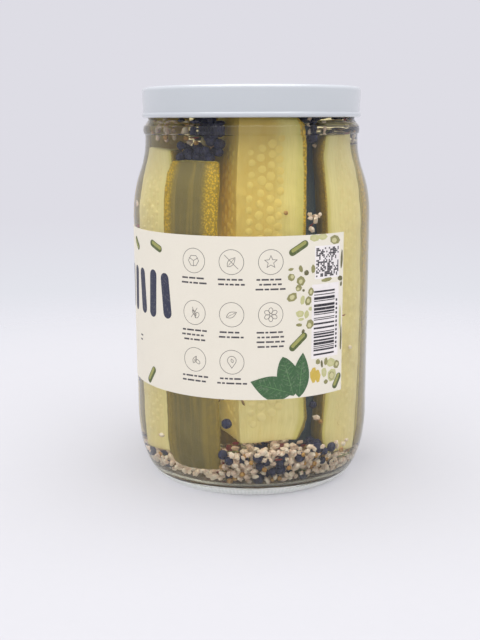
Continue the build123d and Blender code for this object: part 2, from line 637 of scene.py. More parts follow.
def brine_material(sizes):
    """Clear brine that takes a little blue out of the light on its way."""
    paint = Paint("brine")
    paint.surface(
        base_color=sizes.brine_base,
        roughness=0.0,
        ior=1.34,
        transmission_weight=1.0,
        specular_tint=[0, 0, 0],
    )
    tint = {"Color": (*sizes.brine_tint, 1), "Density": BRINE_DENSITY}
    paint.output(paint.node("ShaderNodeVolumeAbsorption", values=tint), "Volume")
    return paint.made


def enamel_material(sizes):
    """White enamel with a faint orange peel and a few dull scuffs on its edges."""
    paint = Paint("white_enamel")
    here = paint.here()
    peel = paint.noise(here, 900, detail=1)
    blotch = paint.noise(here, 60, detail=4).rise(0.35, 0.7)
    scuff = paint.noise(paint.scaled(here, (1, 1, 5)), 420, detail=5, roughness=0.7).rise(0.62, 0.72)
    tone = paint.mix(blotch * 0.25, sizes.enamel, shade(sizes.enamel, 0.94))
    paint.surface(
        base_color=paint.mix(scuff * 0.25, tone, screen(196, 198, 202)),
        roughness=0.28 + scuff * 0.2 + blotch * 0.06,
        coat_weight=0.8,
        coat_roughness=0.12,
        normal=paint.bump(peel, 0.006 * MM),
    )
    return paint.made


def paper_material(sizes):
    """Uncoated cream paper, with short fibres and a soft mottle."""
    paint = Paint("label_paper")
    here = paint.here()
    fibre = paint.noise(paint.scaled(here, (1, 1, 3.5)), 1500, detail=4, roughness=0.65)
    mottle = paint.noise(here, 130, detail=3)
    fleck = paint.cells(here, 900).rise(0.12, 0.05) * paint.noise(here, 700).rise(0.6, 0.7)
    tone = paint.mix(mottle, sizes.paper, shade(sizes.paper, 0.95))
    tone = paint.mix(fibre.rise(0.35, 0.75) * 0.22, tone, screen(226, 216, 198))
    paint.surface(
        base_color=paint.mix(fleck * 0.35, tone, screen(190, 176, 150)),
        roughness=0.62 + fibre * 0.16,
        normal=paint.bump(fibre, 0.012 * MM),
    )
    return paint.made


def ink_material(name, tone):
    """Matte ink on paper, a little uneven where the paper drinks it."""
    paint = Paint(name)
    here = paint.here()
    worn = paint.noise(here, 1300, detail=3).rise(0.45, 0.8)
    cloud = paint.noise(here, 260, detail=3)
    uneven = paint.mix(cloud, shade(tone, 0.86), shade(tone, 1.12))
    paint.surface(
        base_color=paint.mix(worn * 0.12, uneven, screen(236, 228, 212)),
        roughness=0.55 + worn * 0.15,
    )
    return paint.made


# Between which heights in the jar a pickle is painted golden, a painted glow for the light that comes
# through it, and between which tones of its spear.
GOLDEN_HEIGHTS = (45 * MM, 90 * MM)
GOLDEN_TONES = (0.35, 0.9)


def pickle_material(sizes):
    """A pickle from its skin through its green rind and pale flesh to the wet middle, with a painted
    golden glow near the cuts and in a band of heights.
    """
    paint = Paint("pickle")
    grown = paint.attribute("grown")
    tone = paint.attribute("tone", output="Fac")
    across, sideways = paint.parts(grown)[:2]
    wobble = paint.noise(grown, 160, detail=2) - 0.5
    deep = away(across, sideways) + wobble * 0.05
    edge = (sideways.math("ABSOLUTE") / (across.math("ABSOLUTE") + 0.02)).rise(0.27, 0.52)
    stripe = paint.noise(paint.scaled(grown, (7, 7, 0.35)), 1.1, detail=2)
    speckle = paint.cells(paint.scaled(grown, (26, 26, 26)), 1.0).rise(0.66, 0.18)
    skin = paint.mix(stripe.rise(0.40, 0.66), sizes.skin_dark, sizes.skin)
    skin = paint.mix(tone.rise(0.12, 0.0), skin, sizes.skin_cold)
    # Painted glow: the skin near the cuts is painted golden, more so between the glow heights.
    gold = paint.mix(speckle, shade(sizes.skin_gold, 0.50), sizes.skin_gold)
    high = paint.parts(paint.here())[2].rise(*GOLDEN_HEIGHTS)
    skin = paint.mix(edge * (high * (tone * 0.6 + 0.15) + 0.2), skin, gold)
    fibres = paint.noise(paint.scaled(grown, (34, 34, 2.2)), 1.0, detail=4, roughness=0.6)
    cell = paint.cells(paint.scaled(grown, (8, 8, 5)), 1.0, feature="SMOOTH_F1")
    # Painted glow: flesh and jelly are painted more golden between the glow heights, as far as the spear's
    # tone allows.
    golden = tone.rise(*GOLDEN_TONES) * high
    flesh = paint.mix(golden, sizes.flesh, sizes.flesh_gold)
    flesh = paint.mix(fibres.rise(0.3, 0.75) * 0.35, flesh, sizes.rind)
    jelly = paint.mix(golden * 0.65 + 0.3 - cell * 0.3, flesh, sizes.jelly)
    body = paint.mix(deep.rise(0.74, 0.46), flesh, jelly)
    body = paint.mix(deep.rise(0.80, 0.95) * 0.85, body, sizes.rind)
    pits = cell.rise(0.6, 0.1) * deep.rise(0.62, 0.46)
    paint.surface(
        base_color=paint.mix(deep.rise(0.945, 0.97), body, skin),
        roughness=0.30 + fibres * 0.10,
        normal=paint.bump(fibres * 0.6 + pits * 0.4, 0.25 * MM),
    )
    return paint.made


def seed_material(sizes):
    """Soft seeds with a darker rim, as golden as their spear, with a painted golden glow between the glow
    heights.
    """
    paint = Paint("cucumber_seed")
    here = paint.here()
    tone = paint.attribute("tone", output="Fac")
    across, up = paint.parts(paint.attribute("grown"))[:2]
    rim = away(across, up).rise(0.60, 0.92)
    grain = paint.noise(here, 900, detail=2)
    # Painted glow: seeds are painted more golden between the glow heights, as far as the spear's tone
    # allows.
    golden = tone.rise(*GOLDEN_TONES) * paint.parts(here)[2].rise(*GOLDEN_HEIGHTS)
    heart = paint.mix(golden, sizes.flesh, sizes.seed)
    heart = paint.mix(grain * 0.35, heart, sizes.jelly)
    edge = paint.mix(golden * 0.5 + 0.4, sizes.flesh, sizes.jelly)
    paint.surface(base_color=paint.mix(rim, heart, edge), roughness=0.25 + grain * 0.1)
    return paint.made


def spice_material(name, tone, other, scale, roughness, depth):
    """A spice or a bit of herb: two tones in patches, with a wrinkled surface."""
    paint = Paint(name)
    here = paint.here()
    patch = paint.noise(here, scale, detail=4, roughness=0.6)
    wrinkle = paint.cells(here, scale * 2.2)
    paint.surface(
        base_color=paint.mix(patch.rise(0.35, 0.68), tone, other),
        roughness=roughness + patch * 0.12,
        normal=paint.bump(wrinkle, depth),
    )
    return paint.made


def floor_material(sizes):
    """A pale floor that fades into the backdrop away from the jar."""
    paint = Paint("pale_floor")
    here = paint.here()
    across, back = paint.parts(here)[:2]
    grain = paint.noise(here, 260, detail=3)
    tone = paint.mix(grain, sizes.floor, shade(sizes.floor, 0.985))
    board = paint.node("ShaderNodeBsdfDiffuse", values={"Color": tone})
    clear = paint.node("ShaderNodeBsdfTransparent")
    fade = away(across, back).rise(sizes.fade_start, sizes.fade_end)
    paint.output(paint.node("ShaderNodeMixShader", values={0: fade, 1: board, 2: clear}))
    return paint.made


# ---------------------------------------------------------------- glass, brine and lid


def inside_outline(sizes, reach, level):
    """The inside of the glass up to a level, drawn outwards by reach into the wall."""
    floor = dome(sizes.floor_top, (sizes.inner_floor_radius, sizes.floor_low), 12)
    heel_middle = (sizes.inner_floor_radius, sizes.floor_low + sizes.inner_heel_height)
    heel_width = sizes.inner_radius - sizes.inner_floor_radius
    heel = ellipse(heel_middle, heel_width, sizes.inner_heel_height, -90, 0, 20)
    shoulder_low = (sizes.inner_radius, sizes.shoulder_start)
    shoulder = s_curve(shoulder_low, (sizes.mouth_radius, sizes.shoulder_end), SHOULDER_CONVEX_SHARE, 10)
    line = floor + heel[1:] + shoulder + [(sizes.mouth_radius, level)]
    return push_out(line, reach)


def push_out(line, reach):
    """Moves each point of an outline that runs outwards and up by reach, away from the axis or down."""
    moved = []
    for index, (radius, height) in enumerate(line):
        before = line[max(0, index - 1)]
        after = line[min(len(line) - 1, index + 1)]
        run = Vector((after[0] - before[0], after[1] - before[1])).normalized()
        out = 0 if index == 0 else run.y * reach
        last = index == len(line) - 1
        moved.append((radius + out, height - (0 if last else run.x * reach)))
    return moved


def make_glass(sizes):
    """The jar: hollow underside, heel, body, shoulder, neck with its bead, and rim."""
    half_bead = sizes.bead_height / 2
    bead_middle = (sizes.neck_radius, sizes.bead_start + half_bead)
    rim_low = sizes.rim_height - sizes.rim_round
    outer_rim = arc((sizes.finish_radius - sizes.rim_round, rim_low), sizes.rim_round, 0, 90, 6)
    inner_rim = arc((sizes.mouth_radius + sizes.rim_round, rim_low), sizes.rim_round, 90, 180, 6)
    heel_middle = (sizes.bearing_radius, sizes.heel_height)
    heel_width = sizes.body_radius - sizes.bearing_radius
    shoulder_low = (sizes.body_radius, sizes.shoulder_start)
    shoulder_high = (sizes.neck_radius, sizes.shoulder_end)
    outside = dome(sizes.base_rise, (sizes.bearing_radius - sizes.bearing_width, 0), 12)
    outside += ellipse(heel_middle, heel_width, sizes.heel_height, -90, 0, 24)
    outside += s_curve(shoulder_low, shoulder_high, SHOULDER_CONVEX_SHARE, 12)
    outside += ellipse(bead_middle, sizes.bead_proud, half_bead, -90, 90, 12)
    outside += [(sizes.finish_radius, sizes.finish_start)] + outer_rim
    inside = inside_outline(sizes, 0, sizes.brine_level) + [(sizes.mouth_radius, rim_low)]
    glass = lathe("jar_glass", outside + inner_rim + inside[::-1], TURN_STEPS)
    glass.visible_shadow = False  # so that light reaches what is in the jar
    dress(glass, glass_material(sizes, wet=False))
    heart = Vector((0, 0, sizes.rim_height / 2))

    def wet(middle, normal):
        return middle.z < sizes.brine_level and normal.dot(heart - middle) > 0

    paint_faces(glass, glass_material(sizes, wet=True), wet)
    inner = sizes.bearing_radius - sizes.bearing_width * 1.6

    def knurled(middle, normal):
        return middle.z < KNURL_HEIGHT and normal.z < 0 and math.hypot(middle.x, middle.y) > inner

    return paint_faces(glass, knurl_material(sizes), knurled)


def make_brine(sizes):
    """The brine, out to just inside the wall, with its top flat."""
    line = inside_outline(sizes, sizes.brine_reach, sizes.brine_level)
    brine = lathe("brine_fill", line + [(0, sizes.brine_level)], TURN_STEPS)
    brine.visible_shadow = False  # so that light reaches what is in the jar
    return dress(brine, brine_material(sizes))


def make_lid(sizes):
    """The pressed lid: a button, a sunk panel, an outer ring, a side and a rolled bottom curl."""

    def skin(inset):
        """The lid's section from its axis to its side, drawn in by inset."""
        panel = sizes.top - sizes.panel_drop - inset
        top = sizes.top - inset
        side = sizes.radius - sizes.skirt_inset - inset
        step = sizes.step_radius + inset
        corner = sizes.corner - inset
        fillet = sizes.panel_fillet
        line = [(0, panel + sizes.button_rise)]
        for k in range(9):
            share = k / 8
            fall = 0.5 - 0.5 * math.cos(math.pi * share)
            across = sizes.button_radius + sizes.button_slope * share
            line.append((across, panel + sizes.button_rise * (1 - fall)))
        line += arc((step - fillet, panel + fillet), fillet, -90, 0, 4)
        line += arc((step + fillet, top - fillet), fillet, 180, 90, 4)
        line += arc((side - corner, top - corner), corner, 90, 0, 8)
        return line

    curl_middle = (sizes.radius - sizes.curl_radius, sizes.bottom + sizes.curl_radius)
    curl = arc(curl_middle, sizes.curl_radius, 60, -230, 20)
    lid = lathe("lid_cap", skin(0) + curl + skin(sizes.wall)[::-1], TURN_STEPS)
    return dress(lid, enamel_material(sizes))


# ---------------------------------------------------------------- the label and its print


def bar(name, width, height):
    """A flat bar in the upright plane, centred on the origin, that faces the front."""
    select_only()
    bpy.ops.mesh.primitive_plane_add(size=1, rotation=FACING_FRONT)
    obj = named(name)
    obj.scale = (width, height, 1)
    return settle(obj)


def disc(name, across, up, corners=24):
    """A flat oval in the upright plane, centred on the origin, that faces the front."""
    select_only()
    bpy.ops.mesh.primitive_circle_add(vertices=corners, fill_type="NGON", rotation=FACING_FRONT)
    obj = named(name)
    obj.scale = (across, up, 1)
    return settle(obj)


def hollow(obj, line):
    """Cuts the middle out of a flat shape and leaves an outline of that width."""
    edit(obj, "FACE")
    bpy.ops.mesh.inset(thickness=line)
    bpy.ops.mesh.delete(type="FACE")
    return leave_edit()


def shape(name, points):
    """A flat shape in the upright plane from (across, up) points."""
    return trace(name, [(across, 0, up) for across, up in points], closed=True)


def put(obj, across, up, turn=0.0, lift=0):
    """Moves a flat shape to a place on the unrolled label and turns it clockwise, in degrees."""
    place = Matrix.Translation((across, -lift * LIFT_STEP, up))
    obj.matrix_world = place @ Matrix.Rotation(math.radians(turn), 4, "Y")
    return settle(obj)


def leaf_points(long, wide, tip=1.0, steps=10):
    """The outline of a leaf from its stalk at the origin to its tip, straight up."""
    side = []
    for k in range(1, steps):
        share = k / steps
        side.append((wide / 2 * math.sin(math.pi * share ** 0.85) ** tip, long * share))
    return [(0, 0)] + side + [(0, long)] + [(-across, up) for across, up in side[::-1]]


def star_points(radius, inner):
    """The outline of a five-pointed star."""
    turns = [math.pi / 2 + math.pi * k / 5 for k in range(10)]
    reach = [radius if k % 2 == 0 else inner for k in range(10)]
    return [(r * math.cos(t), r * math.sin(t)) for r, t in zip(reach, turns)]


def pin_points(radius, drop):
    """The outline of a map pin: a round head over a point."""
    return arc((0, 0), radius, -35, 215, 14) + [(0, -drop)]


def around(sizes, angle):
    """How far along the unrolled label an angle in degrees from the front lies."""
    return math.radians(angle) * sizes.radius


def stroke(across, up, wide, tall):
    """The place and size of a plain bar on the unrolled label."""
    return Matrix.Translation((across, 0, up)) @ Matrix.Diagonal((wide, 1, tall, 1))


def wrap(obj, sizes, layer):
    """Cuts a flat print into strips, thickens it and wraps it round the jar at its layer."""
    across = [vertex.co.x for vertex in obj.data.vertices]
    first = math.floor(min(across) / STRIP_WIDTH) + 1
    edit(obj)
    for k in range(first, math.ceil(max(across) / STRIP_WIDTH)):
        bpy.ops.mesh.select_all(action="SELECT")
        bpy.ops.mesh.bisect(plane_co=(k * STRIP_WIDTH, 0, 0), plane_no=(1, 0, 0))
    leave_edit()
    ink = sizes.ink_thickness
    proud = sizes.paper_thickness + ink * (LAYER_STEP * layer - 1)
    solid = obj.modifiers.new("Thickness", "SOLIDIFY")
    solid.thickness = ink
    solid.offset = -1
    finish_modifiers(obj)
    edit(obj)
    bpy.ops.mesh.normals_make_consistent(inside=False)
    bpy.ops.transform.translate(value=(0, -proud - ink, 0))
    leave_edit()
    return roll(obj, sizes.radius)


def roll(obj, radius):
    """Bends a flat piece round the Z axis, so that what lies at the front stays at the front."""
    across = [vertex.co.x for vertex in obj.data.vertices]
    bend(obj, "Z", (max(across) - min(across)) / radius)
    obj.location = (0, -radius, 0)
    return settle(obj)


def printed(piece, sizes, layer, ink, tone):
    """A flat print wrapped round the jar at its layer, in its own ink."""
    return dress(wrap(piece, sizes, layer), ink_material(ink, tone))


def make_paper(sizes):
    """The sheet of paper, with its ends square and its edges thin."""
    width = (sizes.end - sizes.start) * sizes.radius
    height = sizes.high - sizes.low
    select_only()
    bpy.ops.mesh.primitive_grid_add(x_subdivisions=200, y_subdivisions=10, size=1, rotation=FACING_FRONT)
    sheet = named("label_sheet")
    sheet.scale = (width, height, 1)
    sheet.location = ((sizes.end + sizes.start) / 2 * sizes.radius, 0, (sizes.high + sizes.low) / 2)
    settle(sheet)
    edit(sheet, "FACE")
    bpy.ops.mesh.extrude_region_move(TRANSFORM_OT_translate={"value": (0, -sizes.paper_thickness, 0)})
    bpy.ops.mesh.select_all(action="SELECT")
    bpy.ops.mesh.normals_make_consistent(inside=False)
    leave_edit()
    roll(sheet, sizes.radius)
    bpy.ops.object.shade_smooth_by_angle(angle=math.radians(40))
    return dress(sheet, paper_material(sizes))


# Where the line drawings stand: angles from the front in degrees, and heights in millimetres.
DRAWING_COLUMNS = (-26.4, -8.8, 8.5)
DRAWING_ROWS = (90.7, 71.7, 54.2)
# The two pale fields at the label's end: angle, height, width and height.
DOT_FIELD = (36.4, 89.6, 11.6, 12.0)
BAR_FIELD = (35.6, 67.9, 12.6, 27.6)


def make_icons(sizes):
    """Eight line drawings in rings, row by row: box, crossed leaf, star, herb, leaf, flower, pod, pin."""
    line = 0.2 * MM
    columns = [around(sizes, angle) for angle in DRAWING_COLUMNS]
    rows = [height * MM for height in DRAWING_ROWS]
    spots = [(x, z) for z in rows for x in columns][:8]
    parts = []
    for x, z in spots:
        parts.append(put(hollow(disc("ring", 4.55 * MM, 4.55 * MM, 48), line), x, z))

    def add(obj, spot, across=0.0, up=0.0, turn=0.0):
        """Puts a shape in a ring, that many millimetres from its middle."""
        parts.append(put(obj, spots[spot][0] + across * MM, spots[spot][1] + up * MM, turn))

    box = hollow(disc("box", 2.2 * MM, 2.2 * MM, 6), line)
    add(box, 0, turn=30)
    for turn in (0, 120, 240):
        arm = put(bar("box_edge", line, 2.1 * MM), 0, -1.05 * MM)
        add(arm, 0, turn=turn)
    for spot, turn, size in ((1, 40, 4.6), (4, 62, 4.4), (6, 25, 3.2), (3, -35, 2.8)):
        long = size * MM
        lean = math.radians(turn)
        start = (-math.sin(lean) * size / 2, -math.cos(lean) * size / 2)
        add(hollow(shape("leaf", leaf_points(long, long * 0.5)), line), spot, *start, turn)
        add(put(bar("midrib", line * 0.8, long * 0.7), 0, long / 2), spot, *start, turn)
    add(bar("stroke", line, 7.0 * MM), 1, turn=-45)
    add(hollow(shape("star", star_points(2.6 * MM, 1.15 * MM)), line), 2)
    for turn in (35, -20):
        add(bar("twig", line, 4.4 * MM), 3, turn=turn)
    add(hollow(disc("berry", 0.9 * MM, 1.2 * MM), line), 3, 1.1, -0.9, 30)
    for k in range(6):
        turn = math.radians(60 * k)
        petal = hollow(disc("petal", 0.85 * MM, 1.15 * MM, 14), line)
        add(petal, 5, 1.5 * math.sin(turn), 1.5 * math.cos(turn), 60 * k)
    add(hollow(disc("heart", 0.6 * MM, 0.6 * MM, 12), line), 5)
    add(hollow(disc("pod", 1.2 * MM, 0.7 * MM, 16), line), 6, 1.2, -0.7, 40)
    add(hollow(shape("pin", pin_points(1.7 * MM, 3.0 * MM)), line), 7, 0, 0.6)
    add(hollow(shape("pin_leaf", leaf_points(1.8 * MM, 1.0 * MM)), line), 7, 0.4, -0.3, -20)
    return printed(join("print_drawings", parts), sizes, 1, "drawing_ink", sizes.line_ink)


def make_rules(sizes):
    """Short rules of uneven length under each drawing, and small ones on the rest of the label."""
    dice = random.Random(5)
    # Each block of rules: angle from the front, height of its top rule, number of rules, and width.
    blocks = []
    for height, counts in ((84.4, (2, 2, 3)), (65.2, (3, 2, 4)), (48.0, (2, 2, 0))):
        blocks += [(angle, height, count, 11.0) for angle, count in zip(DRAWING_COLUMNS, counts)]
    blocks += [(-65.0, 58.6, 2, 3.2)]
    blocks += [(-90 - 15 * k, 50.5, 1, 8.5) for k in range(5)]
    blocks += [(-222 + 22 * column, 90 - 3.4 * row, 1, 13.0) for column in (0, 2) for row in range(13)]
    thick, gap, shortest = 0.62 * MM, 0.5 * MM, 1.2 * MM
    row_step = 1.75
    places = []
    for angle, top, count, wide in blocks:
        middle = around(sizes, angle)
        for row in range(count):
            total = wide * MM * dice.uniform(0.72, 1.0)
            start, end = middle - total / 2, middle + total / 2
            while start < end - shortest:
                part = min(dice.uniform(1.0, 3.0) * MM, end - start)
                places.append(stroke(start + part / 2, (top - row_step * row) * MM, part, thick))
                start += part + gap
    piece = copies("print_rules", [bar("rule", 1, 1)], places)
    return printed(piece, sizes, 1, "rule_ink", sizes.word_ink)


def make_patches(sizes):
    """Pale fields that lie behind the dots and the bars."""
    parts = []
    for angle, height, wide, tall in (DOT_FIELD, BAR_FIELD):
        field = bar("field", wide * MM, tall * MM)
        parts.append(put(field, around(sizes, angle), height * MM))
    return printed(join("print_fields", parts), sizes, 2, "field_ink", sizes.patch_ink)


def make_codes(sizes):
    """Random dots, which say nothing, and a stack of uneven bars with a column of dashes beside it."""
    dice = random.Random(11)
    places = []
    cells, side = 17, 10.6 * MM
    pitch = side / cells
    dot = pitch * 0.92
    left = around(sizes, DOT_FIELD[0]) - side / 2
    low = DOT_FIELD[1] * MM - side / 2
    for row in range(cells):
        for column in range(cells):
            if dice.random() < 0.52:
                places.append(stroke(left + pitch * (column + 0.5), low + pitch * (row + 0.5), dot, dot))
    middle = around(sizes, 34.9)
    height, top = 55.2 * MM, 80.2 * MM
    widths = (0.33, 0.33, 0.66, 0.99)
    while height < top:
        thick = dice.choice(widths) * MM
        places.append(stroke(middle, height + thick / 2, 9.6 * MM, thick))
        height += thick + dice.choice(widths) * MM
    for k in range(12):
        places.append(stroke(around(sizes, 42.0), (57.5 + 1.6 * k) * MM, 0.8 * MM, 0.9 * MM))
    piece = copies("print_bars", [bar("stroke", 1, 1)], places)
    return printed(piece, sizes, 3, "bar_ink", sizes.dark_ink)


def crop_shape(obj, sizes):
    """Cuts off what a flat print has outside the paper."""
    edge = 0.05 * MM
    end = sizes.end * sizes.radius
    cuts = (((0, 0, sizes.low + edge), (0, 0, -1)), ((0, 0, sizes.high - edge), (0, 0, 1)))
    for place, normal in (*cuts, ((end - edge, 0, 0), (1, 0, 0))):
        edit(obj)
        bpy.ops.mesh.bisect(plane_co=place, plane_no=normal, clear_outer=True)
        leave_edit()
    return obj


def make_leaves(sizes):
    """Three large leaves at the label's lower edge, with their veins as a second piece."""
    # Each leaf: angle and height of its stalk, length, width, turn and fullness.
    leaves = (
        (18.4, 42.0, 16.2, 9.2, -72, 1.0),
        (19.2, 41.0, 15.6, 8.6, -16, 0.7),
        (21.8, 40.2, 16.8, 6.8, 5, 0.85),
    )
    parts, veins = [], []
    for lift, (angle, height, long, wide, turn, fullness) in enumerate(leaves):
        x = around(sizes, angle)
        leaf = shape("leaf", leaf_points(long * MM, wide * MM, fullness, 16))
        parts.append(put(leaf, x, height * MM, turn, lift))
        ribs = [shape("midrib", leaf_points(long * 0.94 * MM, 0.34 * MM, steps=6))]
        for k in range(2, 7):
            for side in (-1, 1):
                reach = wide * 0.44 * math.sin(math.pi * k / 8)
                rib = shape("rib", leaf_points(reach * MM, 0.2 * MM, steps=5))
                ribs.append(put(rib, 0, long * k / 8 * MM, 52 * side, 1))
        veins += [put(rib, x, height * MM, turn, lift) for rib in ribs]
    leaf_piece = crop_shape(join("print_leaves", parts), sizes)
    vein_piece = crop_shape(join("print_veins", veins), sizes)
    return [
        printed(leaf_piece, sizes, 3, "leaf_ink", sizes.leaf_ink),
        printed(vein_piece, sizes, 4, "vein_ink", sizes.vein_ink),
    ]


# Each printed slice: its angle from the front and its height on the label, its own width and
# height, and its turn, in degrees and millimetres.
OLIVE_SLICES = (
    (17.5, 87.8, 2.2, 1.2, -8), (22.2, 87.8, 1.6, 3.0, -20), (28.4, 87.4, 1.9, 3.5, 0),
    (17.8, 84.9, 3.1, 2.9, -12), (22.4, 83.4, 3.4, 3.6, 8), (21.2, 80.8, 2.6, 2.6, -6),
    (18.1, 77.7, 4.2, 3.4, -36), (27.3, 79.2, 2.5, 3.2, 12), (26.0, 76.0, 2.8, 3.8, 14),
    (21.6, 67.3, 2.7, 1.3, 4), (27.0, 67.2, 3.4, 3.6, 22), (35.9, 83.0, 5.4, 1.6, -4),
    (40.4, 97.4, 5.4, 3.8, 6), (31.5, 52.7, 2.1, 2.2, 0), (36.0, 52.4, 1.8, 3.0, 8),
    (39.6, 46.6, 3.0, 3.6, 0), (42.6, 50.4, 3.0, 3.4, 14), (36.2, 44.6, 2.2, 2.0, 0),
)
DARK_SLICES = (
    (25.0, 86.2, 2.0, 2.2, 0), (23.6, 79.9, 1.1, 1.1, 0), (23.6, 64.8, 1.3, 1.8, 20),
    (44.2, 82.9, 3.0, 2.1, 12), (44.9, 80.7, 1.3, 1.8, 0), (45.0, 89.6, 1.3, 7.8, 2),
    (33.7, 51.7, 1.1, 3.0, -6), (45.3, 60.4, 1.0, 11.0, 1),
)
PALE_SLICES = (
    (23.2, 76.4, 1.8, 3.6, 6), (21.9, 71.4, 3.3, 2.9, 0), (25.3, 71.0, 2.0, 3.2, 12),
    (27.4, 73.0, 2.2, 1.6, 0), (44.6, 68.4, 1.2, 9.6, 0), (39.2, 51.6, 4.8, 3.4, 10),
    (22.6, 69.4, 2.6, 1.2, 0), (35.0, 48.4, 2.8, 3.8, 0), (39.8, 46.6, 5.0, 5.4, 8),
    (29.0, 98.6, 4.4, 2.8, 0), (33.4, 98.8, 4.2, 2.6, 6),
)
GOLD_SLICES = ((29.0, 48.0, 3.0, 6.2, 2), (31.4, 47.4, 2.6, 5.6, -4))
# Each small printed gherkin: the angle and height of its two ends.
GHERKINS = (
    (16.8, 93.2, 25.5, 97.4), (17.3, 58.2, 25.2, 64.0), (40.9, 41.4, 45.0, 46.8),
    (-53.3, 95.9, -44.8, 93.2), (-57.9, 41.2, -51.8, 47.8), (-66.0, 92.0, -72.0, 96.0),
    (-126.0, 92.0, -134.0, 96.0), (-150.0, 44.0, -156.0, 49.0), (-100.0, 43.0, -93.0, 47.0),
)


def slice_shape(place, dice, sizes, share=1.0, shift=0.0, lift=0):
    """One chopped slice: an uneven polygon, or the paler middle of one."""
    angle, height, wide, tall, turn = place
    sides = 7
    corners = []
    for k in range(sides):
        t = math.tau * (k + dice.uniform(-0.18, 0.18)) / sides
        reach = dice.uniform(0.86, 1.08) * share * MM
        corners.append((wide / 2 * reach * math.cos(t), tall / 2 * reach * math.sin(t)))
    x = around(sizes, angle) + shift * wide * MM
    return put(shape("slice", corners), x, (height + shift * tall) * MM, turn, lift)


def make_garnish(sizes):
    """Chopped slices, peppers and small gherkins printed round the two pale fields."""
    dice = random.Random(23)
    plain_slices = (OLIVE_SLICES, DARK_SLICES, PALE_SLICES)
    olive, dark, pale = [[slice_shape(place, dice, sizes) for place in group] for group in plain_slices]
    gold = [slice_shape(place, dice, sizes, lift=k) for k, place in enumerate(GOLD_SLICES)]
    large = [place for place in OLIVE_SLICES + PALE_SLICES if min(place[2:4]) > 2.3]
    middles = [slice_shape(place, dice, sizes, 0.5, dice.uniform(-0.1, 0.1)) for place in large]
    rinds, sides = [], []
    for a0, z0, a1, z1 in GHERKINS:
        across = around(sizes, a1 - a0)
        up = (z1 - z0) * MM
        long = math.hypot(across, up)
        turn = math.degrees(math.atan2(across, up))
        x, z = around(sizes, (a0 + a1) / 2), (z0 + z1) / 2 * MM
        rinds.append(put(hull("gherkin", 1.3 * MM, long / 2), x, z, turn))
        side = put(hull("gherkin_side", 0.62 * MM, long * 0.40), -0.4 * MM, 0.3 * MM)
        sides.append(put(side, x, z, turn))
    kinds = (
        ("print_slices", olive, 2, "olive_ink", sizes.herb_ink),
        ("print_dark_slices", dark, 3, "dark_slice_ink", sizes.dark_herb_ink),
        ("print_pale_slices", pale, 1, "pale_slice_ink", sizes.pale_ink),
        ("print_middles", middles, 4, "middle_ink", sizes.cream_ink),
        ("print_peppers", gold, 2, "pepper_ink", sizes.gold_ink),
        ("print_gherkins", rinds, 4, "gherkin_ink", sizes.rind_ink),
        ("print_gherkin_sides", sides, 5, "gherkin_side_ink", sizes.side_ink),
    )
    pieces = []
    for name, shapes, layer, ink, tone in kinds:
        pieces.append(printed(crop_shape(join(name, shapes), sizes), sizes, layer, ink, tone))
    return pieces


def hull(name, half_width, half_length):
    """A long shape with round ends, straight up."""
    straight = half_length - half_width
    top = arc((0, straight), half_width, 0, 180, 8)
    bottom = arc((0, -straight), half_width, 180, 360, 8)
    return shape(name, top + bottom)


def make_frieze(sizes):
    """A row of tall plain gherkin shapes, with thin lines over and under it and the far rules."""
    dice = random.Random(31)
    parts = []
    for k in range(11):
        tall = (18.5 + dice.uniform(-1.5, 1.5)) * MM
        x = around(sizes, -42.5 - 9.6 * k)
        parts.append(put(hull("tall_gherkin", 2.15 * MM, tall / 2), x, 76.5 * MM, dice.uniform(-7, 7)))
    # Each line: the angle of its middle, its height and its thickness.
    lines = ((-120, 63.4, 0.4), (-120, 89.6, 0.4), (-200, 94.0, 0.35), (-200, 46.5, 0.35))
    for angle, height, thick in lines:
        line = bar("line", around(sizes, 60), thick * MM)
        parts.append(put(line, around(sizes, angle), height * MM))
    return printed(join("print_frieze", parts), sizes, 1, "frieze_ink", sizes.navy_ink)


# ---------------------------------------------------------------- the spears


# Each spear: angle and distance of its tip edge from the jar's axis, the way that its skin faces,
# the angle of its wedge, its radius, its foot and head heights, and how golden its skin is.
# Angles are in degrees from the front towards the right, and lengths in millimetres.
SPEARS = (
    (-75, 41.0, 74, 68, 17.5, 12.0, 130.0, 0.15),
    (-33, 24.7, -33.5, 76, 19.0, 11.5, 124.0, 1.0),
    (-8.0, 38.4, 147, 102, 24.0, 20.5, 141.5, 0.95),
    (55, 12.5, 26, 36, 16.5, 14.0, 138.0, 0.0),
    (70, 41.0, -80, 70, 17.5, 12.0, 135.5, 0.2),
    (87, 23.6, 90, 70, 19.8, 13.0, 129.0, 0.6),
    (133.5, 40.6, -2, 72, 19.0, 11.0, 132.0, 0.3),
    (152, 24.4, 154, 66, 19.2, 12.0, 125.0, 0.8),
    (-162, 40.6, 65, 72, 19.8, 13.0, 136.0, 0.5),
    (-143, 23.4, -141, 70, 20.0, 11.5, 128.0, 0.3),
    (-97, 40.9, 127, 72, 18.8, 12.0, 133.0, 0.7),
    (-86, 20.5, -86, 44, 17.5, 13.0, 141.0, 0.6),
    (-120, 2.0, -72, 100, 15.5, 14.0, 137.0, 0.4),
    (75, 7.5, 92, 72, 13.5, 15.0, 131.0, 0.6),
    (165, 4.5, 150, 96, 18.0, 14.0, 134.0, 0.4),
)


# A spear past this angle from the front, or nearer to the jar's axis than this, casts a shadow.
BACK_ANGLE = 86.5
CORE_REACH = 13


def heading(angle):
    """The level direction at an angle in degrees from the front, positive to the right."""
    turn = math.radians(angle)
    return Vector((math.sin(turn), -math.cos(turn), 0))


# The steps that round a cucumber's end: each one's share of the taper's length, and how far the
# end shrinks on it.
TAPER_STEPS = ((0.55, 0.955), (0.45, 0.90))


